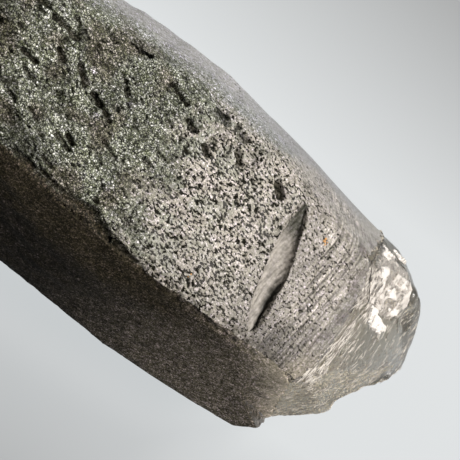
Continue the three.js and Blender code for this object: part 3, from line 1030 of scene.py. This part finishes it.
def grainGroup():
    group = bpy.data.node_groups.new("mineralGrain", "ShaderNodeTree")
    face = group.interface
    face.new_socket("Vector", in_out="INPUT", socket_type="NodeSocketVector")
    inputs = {
        "Scale": 3000.0, "Darkest": 0.3, "Lightest": 1.6, "Power": 1.0, "Gap": 0.1,
        "Softness": 0.04,
    }
    for name, value in inputs.items():
        face.new_socket(name, in_out="INPUT", socket_type="NodeSocketFloat").default_value = value
    face.new_socket("Light", in_out="OUTPUT", socket_type="NodeSocketFloat")
    face.new_socket("Gaps", in_out="OUTPUT", socket_type="NodeSocketFloat")
    nodes, links = group.nodes, group.links
    start, end = nodes.new("NodeGroupInput"), nodes.new("NodeGroupOutput")
    cells = nodes.new("ShaderNodeTexVoronoi")
    edges = nodes.new("ShaderNodeTexVoronoi")
    edges.feature = "DISTANCE_TO_EDGE"
    for node in (cells, edges):
        links.new(start.outputs["Vector"], node.inputs["Vector"])
        links.new(start.outputs["Scale"], node.inputs["Scale"])
    split = nodes.new("ShaderNodeSeparateColor")
    links.new(cells.outputs["Color"], split.inputs[0])
    rarer = nodes.new("ShaderNodeMath")
    rarer.operation = "POWER"
    links.new(split.outputs[0], rarer.inputs[0])
    links.new(start.outputs["Power"], rarer.inputs[1])
    shade = nodes.new("ShaderNodeMapRange")
    links.new(rarer.outputs[0], shade.inputs["Value"])
    links.new(start.outputs["Darkest"], shade.inputs["To Min"])
    links.new(start.outputs["Lightest"], shade.inputs["To Max"])
    links.new(shade.outputs["Result"], end.inputs["Light"])
    less = nodes.new("ShaderNodeMath")
    less.operation = "SUBTRACT"
    links.new(edges.outputs["Distance"], less.inputs[0])
    links.new(start.outputs["Gap"], less.inputs[1])
    gap = nodes.new("ShaderNodeMapRange")
    gap.inputs["To Min"].default_value = 0.05
    negative = nodes.new("ShaderNodeMath")
    negative.operation = "MULTIPLY"
    negative.inputs[1].default_value = -1.0
    links.new(start.outputs["Softness"], negative.inputs[0])
    links.new(negative.outputs[0], gap.inputs["From Min"])
    links.new(start.outputs["Softness"], gap.inputs["From Max"])
    links.new(less.outputs[0], gap.inputs["Value"])
    links.new(gap.outputs["Result"], end.inputs["Gaps"])
    return group


mineralGrain = grainGroup()


def grains(nodes, links, vector, scale, darkest, lightest, power=1.0, gap=0.0, softness=0.04):
    node = nodes.new("ShaderNodeGroup")
    node.node_tree = mineralGrain
    links.new(vector, node.inputs["Vector"])
    values = {
        "Scale": scale, "Darkest": darkest, "Lightest": lightest, "Power": power, "Gap": gap,
        "Softness": softness,
    }
    for name, value in values.items():
        if isinstance(value, (float, int)):
            node.inputs[name].default_value = value
        else:
            links.new(value, node.inputs[name])
    return node.outputs["Light"], node.outputs["Gaps"]


def calculate(nodes, links, operation, a, b):
    node = nodes.new("ShaderNodeMath")
    node.operation = operation
    for i, value in enumerate((a, b)):
        if isinstance(value, (float, int)):
            node.inputs[i].default_value = value
        else:
            links.new(value, node.inputs[i])
    return node.outputs[0]


speck = {
    "fine": 4300.0,
    "fineRange": (0.4, 1.8),
    "finePower": 1.0,
    "scale": 3000.0,
    "range": (0.45, 1.8),
    "gap": (0.13, 0.21),  # half width of the dark gaps between grains, in grains
    "softness": 0.10,
    "patches": 1300.0,
    "warp": 0.5,
    "bump": 0.08,
    "holes": 2900.0,
    "holeEdge": (0.53, 0.56),  # noise levels between which a pit begins
    "holeDepth": 1.2,
    "swirl": 1800.0,
    "turn": -20.5,  # degrees
    "stretch": (1.5, 1.0, 1.0),
    # near black for the small holes: dark chlorite with painted shade in them
    "holeColor": (0.012, 0.011, 0.006, 1.0),
    "tinge": (0.95, 1.2),  # powers of green and blue, so that dark grains are browner
}


def crustMaterial():
    material, nodes, links, shader = newMaterial("chlorite_crust")
    shader.inputs["Specular IOR Level"].default_value = 0.18
    place = nodes.new("ShaderNodeTexCoord").outputs["Object"]
    turned = stretched(nodes, links, place, speck["turn"], speck["stretch"])
    swirl = noiseTexture(nodes, links, place, speck["swirl"], 1)
    sway = nodes.new("ShaderNodeVectorMath")
    sway.operation = "MULTIPLY_ADD"
    links.new(swirl.outputs["Color"], sway.inputs[0])
    sway.inputs[1].default_value = (speck["warp"] * mm,) * 3
    links.new(place, sway.inputs[2])
    patches = noiseTexture(nodes, links, turned, speck["patches"], 2)
    pits = attribute(nodes, "pits")
    rarer = ramp(nodes, links, pits, 0.0, 1.0, -0.35, 0.0)
    cover = calculate(nodes, links, "ADD", patches.outputs["Fac"], rarer)
    gap = ramp(nodes, links, cover, 0.35, 0.75, *speck["gap"])
    dust = attribute(nodes, "dust")
    light, gaps = grains(
        nodes,
        links,
        sway.outputs[0],
        speck["scale"],
        *speck["range"],
        gap=gap,
        softness=speck["softness"],
    )
    holes = noiseTexture(nodes, links, turned, speck["holes"], 2)
    rarer = ramp(nodes, links, pits, 0.0, 1.0, -0.2, 0.0)
    hollow = calculate(nodes, links, "ADD", holes.outputs["Fac"], rarer)
    hollow = ramp(nodes, links, hollow, *speck["holeEdge"])
    fine, _ = grains(nodes, links, place, speck["fine"], *speck["fineRange"], speck["finePower"])
    both = calculate(nodes, links, "MULTIPLY", light, fine)
    tinge = nodes.new("ShaderNodeCombineColor")
    links.new(both, tinge.inputs["Red"])
    for channel, power in zip(("Green", "Blue"), speck["tinge"]):
        links.new(calculate(nodes, links, "POWER", both, power), tinge.inputs[channel])
    tint = attribute(nodes, "tint", "Color")
    body = mixColor(nodes, links, dust, tint, tinge.outputs["Color"], "MULTIPLY")
    body = mixColor(nodes, links, dust, body, gaps, "MULTIPLY")
    # Small holes are painted near black: painted shade in them, with dark chlorite.
    body = mixColor(nodes, links, hollow, body, speck["holeColor"])
    links.new(body, shader.inputs["Base Color"])
    links.new(attribute(nodes, "gloss"), shader.inputs["Roughness"])
    height = calculate(nodes, links, "MULTIPLY", light, dust)
    sunk = calculate(nodes, links, "MULTIPLY", hollow, speck["holeDepth"])
    height = calculate(nodes, links, "SUBTRACT", height, sunk)
    addBump(nodes, links, shader, height, speck["bump"])
    return material


glass = {
    "ior": 1.544,
    "roughness": (0.2, 0.5),  # bare and frosted
    "grain": 2600.0,
    "shades": (0.2, 1.0),
    "grainBump": (0.15, 1.0),  # bare and frosted
    "turn": 80.1,  # degrees
    "stretch": (7.0, 1.0, 1.0),
    "lines": 1900.0,
    "lineBump": 3.0,
    "bump": 0.05,
    "smoke": (0.52, 0.425, 0.235, 1),
    "density": 64,
}


def clearMaterial():
    material, nodes, links, shader = newMaterial("clear_quartz")
    shader.inputs["Base Color"].default_value = (1, 1, 1, 1)
    frost = ramp(nodes, links, attribute(nodes, "frost"), 0.0, 1.0, *glass["roughness"])
    links.new(frost, shader.inputs["Roughness"])
    shader.inputs["IOR"].default_value = glass["ior"]
    shader.inputs["Transmission Weight"].default_value = 1.0
    place = nodes.new("ShaderNodeTexCoord").outputs["Object"]
    light, _ = grains(nodes, links, place, glass["grain"], *glass["shades"], 0.0)
    frosted = ramp(nodes, links, attribute(nodes, "frost"), 0.0, 1.0, *glass["grainBump"])
    height = calculate(nodes, links, "MULTIPLY", light, frosted)
    turned = stretched(nodes, links, place, glass["turn"], glass["stretch"])
    lines = noiseTexture(nodes, links, turned, glass["lines"], 2)
    streaks = attribute(nodes, "streaks")
    streaked = calculate(nodes, links, "MULTIPLY", lines.outputs["Fac"], streaks)
    streaked = calculate(nodes, links, "MULTIPLY", streaked, glass["lineBump"])
    height = calculate(nodes, links, "ADD", height, streaked)
    addBump(nodes, links, shader, height, glass["bump"])
    smoke = nodes.new("ShaderNodeVolumeAbsorption")
    smoke.inputs["Color"].default_value = glass["smoke"]
    smoke.inputs["Density"].default_value = glass["density"]
    links.new(smoke.outputs[0], nodes["Material Output"].inputs["Volume"])
    return material


crustLook = crustMaterial()
for piece in crusts:
    piece.data.materials.clear()
    piece.data.materials.append(crustLook)
    piece.data.shade_smooth()
clear.data.materials.clear()
clear.data.materials.append(clearMaterial())


def grainMaterial(name, color, shades, roughness, scale):
    material, nodes, links, shader = newMaterial(name)
    place = nodes.new("ShaderNodeTexCoord").outputs["Object"]
    light, _ = grains(nodes, links, place, scale, *shades, 0.0)
    links.new(mixColor(nodes, links, 1.0, color, light, "MULTIPLY"), shader.inputs["Base Color"])
    shader.inputs["Roughness"].default_value = roughness
    return material


# colour, darkest and lightest grain, roughness and grains to the metre
looseLooks = [
    (tipGrains, "grey_grains", (0.40, 0.385, 0.335, 1), (0.2, 1.8), 0.4, 2200.0),
    (inclusions, "inclusion", (0.34, 0.31, 0.26, 1), (0.6, 1.4), 0.5, 2200.0),
    (lowerGrains, "frost_grains", (0.46, 0.42, 0.325, 1), (0.4, 1.6), 0.35, 2200.0),
    # white_flake: near white, partly a painted glint
    (whiteFlakes, "white_flake", (0.74, 0.71, 0.67, 1), (0.5, 1.25), 0.35, 1700.0),
    (fracture, "inner_fracture", (0.55, 0.52, 0.485, 1), (0.35, 1.35), 0.4, 900.0),
    (darkStreaks, "dark_streak", (0.22, 0.20, 0.18, 1), (0.5, 1.4), 0.4, 2200.0),
    (paleStreaks, "pale_streak", (0.60, 0.57, 0.52, 1), (0.5, 1.4), 0.4, 2200.0),
    (seams, "crack_seam", (0.06, 0.056, 0.05, 1), (0.6, 1.5), 0.5, 2200.0),
    (rustSpecks, "rust", (0.52, 0.27, 0.09, 1), (0.6, 1.4), 0.6, 2200.0),
]
for piece, *look in looseLooks:
    piece.data.materials.append(grainMaterial(*look))
print("materials made")

loose = (
    inclusions, tipGrains, lowerGrains, darkStreaks, paleStreaks, whiteFlakes, fracture, seams,
    rustSpecks,
)
for piece in (*crusts, clear, *loose):
    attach(piece, "root")
    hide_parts("quartz_crystal")

# Floor and lights

studio = {
    "floorColor": (0.10, 0.10, 0.10, 1.0),
    "floorGlow": 0.64,
    "floorTint": (0.935, 0.98, 1.0, 1.0),
    "floorRoughness": 0.8,
    "floorHalf": 1.5,  # metres
    "lampsAimAt": Vector((10.0, 0.0, 30.0)),
    "glowMiddle": 4.0,
    "glowEdge": (22.0, 64.0),
    "glowFar": 0.40,
    "world": 0.05,
}


def makeFloor():
    mesh = bpy.data.meshes.new("floor")
    floor = addPiece("floor", mesh)
    bm = bmesh.new()
    bmesh.ops.create_grid(bm, x_segments=1, y_segments=1, size=studio["floorHalf"])
    bm.to_mesh(mesh)
    bm.free()
    material, nodes, links, shader = newMaterial("lit_table")
    shader.inputs["Base Color"].default_value = studio["floorColor"]
    shader.inputs["Roughness"].default_value = studio["floorRoughness"]
    where = nodes.new("ShaderNodeTexCoord")
    xyz = nodes.new("ShaderNodeSeparateXYZ")
    links.new(where.outputs["Object"], xyz.inputs[0])
    aside = calculate(nodes, links, "SUBTRACT", xyz.outputs["Y"], studio["glowMiddle"] * mm)
    aside = calculate(nodes, links, "ABSOLUTE", aside, 0.0)
    near, far = studio["glowEdge"]
    glow = ramp(nodes, links, aside, near * mm, far * mm, 1.0, studio["glowFar"])
    tint = mixColor(nodes, links, 1.0, studio["floorTint"], glow, "MULTIPLY")
    links.new(tint, shader.inputs["Emission Color"])
    shader.inputs["Emission Strength"].default_value = studio["floorGlow"]
    mesh.materials.append(material)


def makeLamp(name, way, distance, size, watts, color):
    data = bpy.data.lights.new(name, "AREA")
    data.shape = "DISK"
    data.size = size
    data.energy = watts
    data.color = color
    lamp = addPiece(name, data)
    way = Vector(way).normalized()
    lamp.location = studio["lampsAimAt"] * mm + way * distance
    lamp.rotation_euler = (-way).to_track_quat("-Z", "Y").to_euler()


makeFloor()
makeLamp("key", (0.30, 0.62, 0.72), 0.8, 0.25, 4.2, (1.0, 0.98, 0.95))
makeLamp("glare", (0.36, 0.145, 0.92), 0.8, 0.36, 4.4, (1.0, 0.93, 0.88))
print("floor and lamps made")
world = bpy.data.worlds.new("studio")
world.use_nodes = True
world.node_tree.nodes["Background"].inputs["Color"].default_value = (0.95, 0.97, 0.98, 1)
world.node_tree.nodes["Background"].inputs["Strength"].default_value = studio["world"]
bpy.context.scene.world = world
bpy.context.scene.view_settings.view_transform = "Standard"
